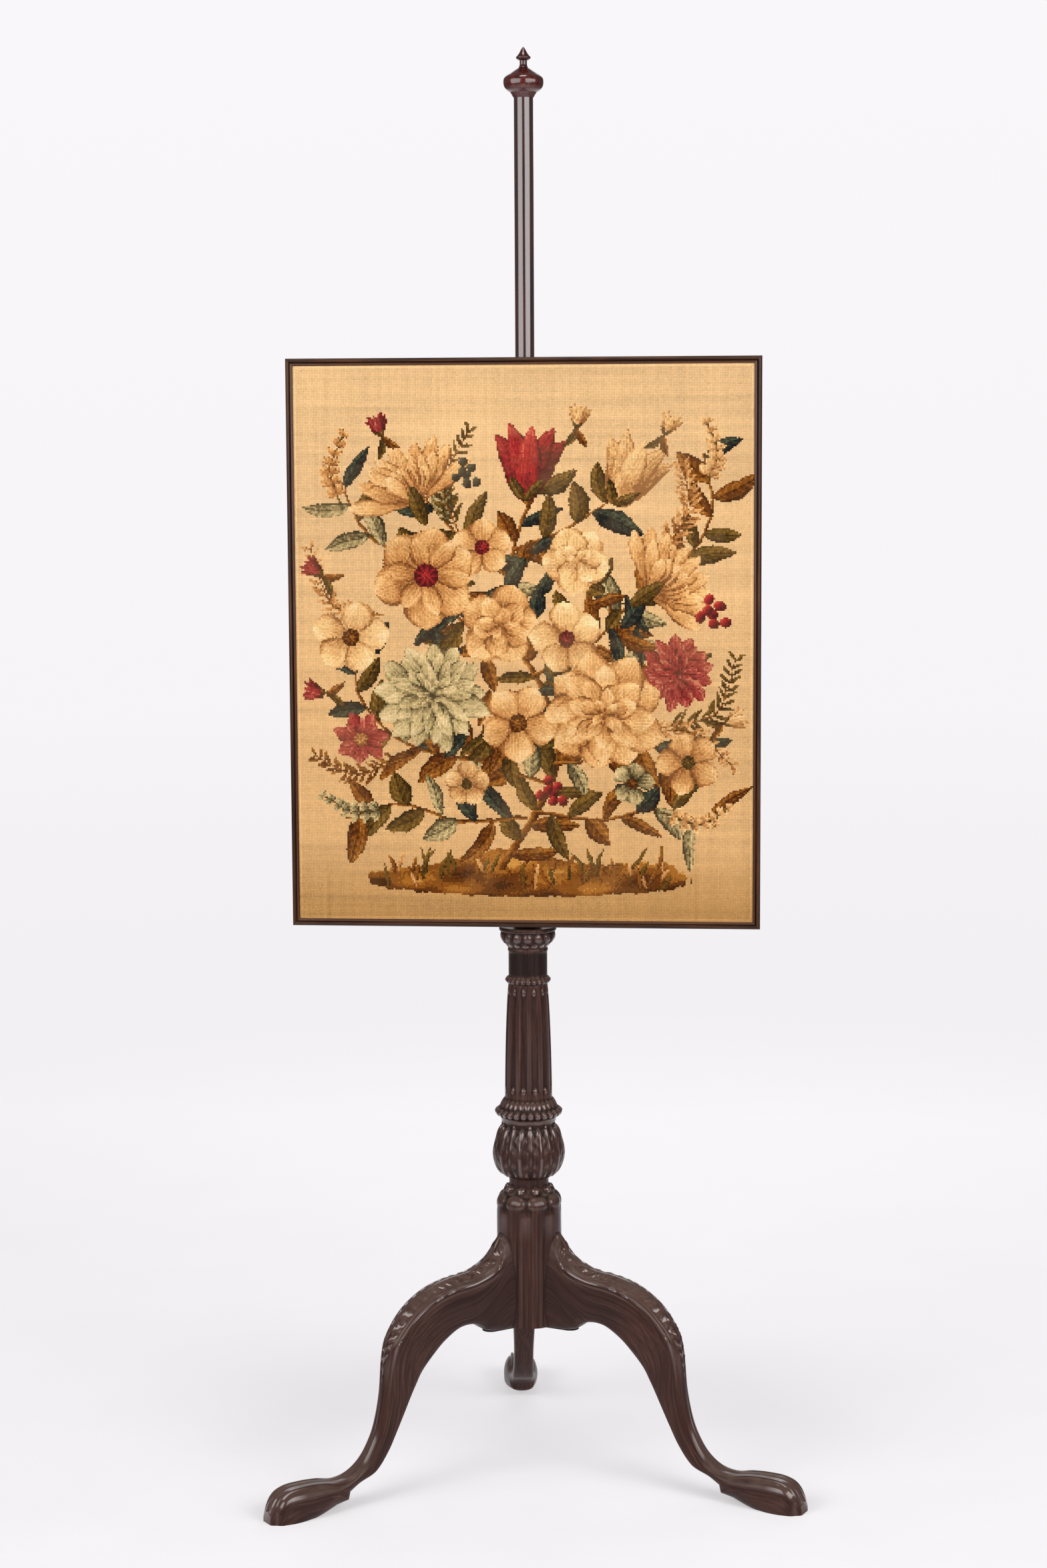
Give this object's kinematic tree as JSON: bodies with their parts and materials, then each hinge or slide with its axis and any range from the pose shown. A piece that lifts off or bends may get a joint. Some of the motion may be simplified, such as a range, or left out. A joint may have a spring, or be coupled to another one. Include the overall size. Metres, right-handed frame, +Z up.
{
  "type": "pole screen",
  "caption": "Free-standing pole screen: a framed needlework panel that slides and swivels on a turned pole with a finial, over a fluted, carved column on a cabriole tripod.",
  "frame": {"origin": "on the floor under the axis of the pole", "axes": "+Z up along the pole, -Y the way the worked face of the screen looks, +X to the right seen from the front"},
  "size_m": [0.5746, 0.5345, 1.5477],
  "materials": {
    "carved_mahogany": "dark waxed and carved",
    "polished_mahogany": "french polished",
    "frame_mahogany": "dark polished",
    "pine": "planed",
    "needlework": "wool stitches on canvas",
    "back_cloth": "plain weave",
    "leather": "worn",
    "brass": "aged",
    "wrought_iron": "blackened"
  },
  "bodies": {
    "stand": {"column": "carved_mahogany", "pole": "polished_mahogany", "finial": "polished_mahogany", "leg_back": "carved_mahogany", "leg_front_left": "carved_mahogany", "leg_front_right": "carved_mahogany", "tripod_iron": "wrought_iron", "tripod_iron_screws": "wrought_iron"},
    "liners": {"upper_ring_liner": "leather", "lower_ring_liner": "leather"},
    "screen": {"strainer_top_rail": "pine", "strainer_bottom_rail": "pine", "strainer_left_stile": "pine", "strainer_right_stile": "pine", "moulding_top": "frame_mahogany", "moulding_bottom": "frame_mahogany", "moulding_left": "frame_mahogany", "moulding_right": "frame_mahogany", "needlework": "needlework", "back_cloth": "back_cloth", "upper_ring_bracket": "brass", "lower_ring_bracket": "brass", "bracket_screws": "brass"},
    "clamp_pad": {"clamp_pad": "brass"},
    "thumbscrew": {"thumbscrew": "brass"}
  },
  "joints": [
    {"name": "screen_height", "type": "slide", "parent": "stand", "child": "liners", "axis": [0, 0, 1], "range_m": [0, 0.278]},
    {"name": "screen_swivel", "type": "hinge", "parent": "liners", "child": "screen", "pos_m": [0, 0, 0.9], "axis": [0, 0, 1], "continuous": true},
    {"name": "clamp_travel", "type": "slide", "parent": "screen", "child": "clamp_pad", "axis": [0, 1, 0], "range_m": [0, 0.0021]},
    {"name": "thumbscrew_turn", "type": "hinge", "parent": "clamp_pad", "child": "thumbscrew", "pos_m": [0, 0.02, 1.196], "axis": [0, 1, 0], "range_deg": [0, 720]}
  ],
  "couplings": [
    {"joint": "clamp_travel", "follows": "thumbscrew_turn", "m_per_rad": 0.00015915}
  ]
}
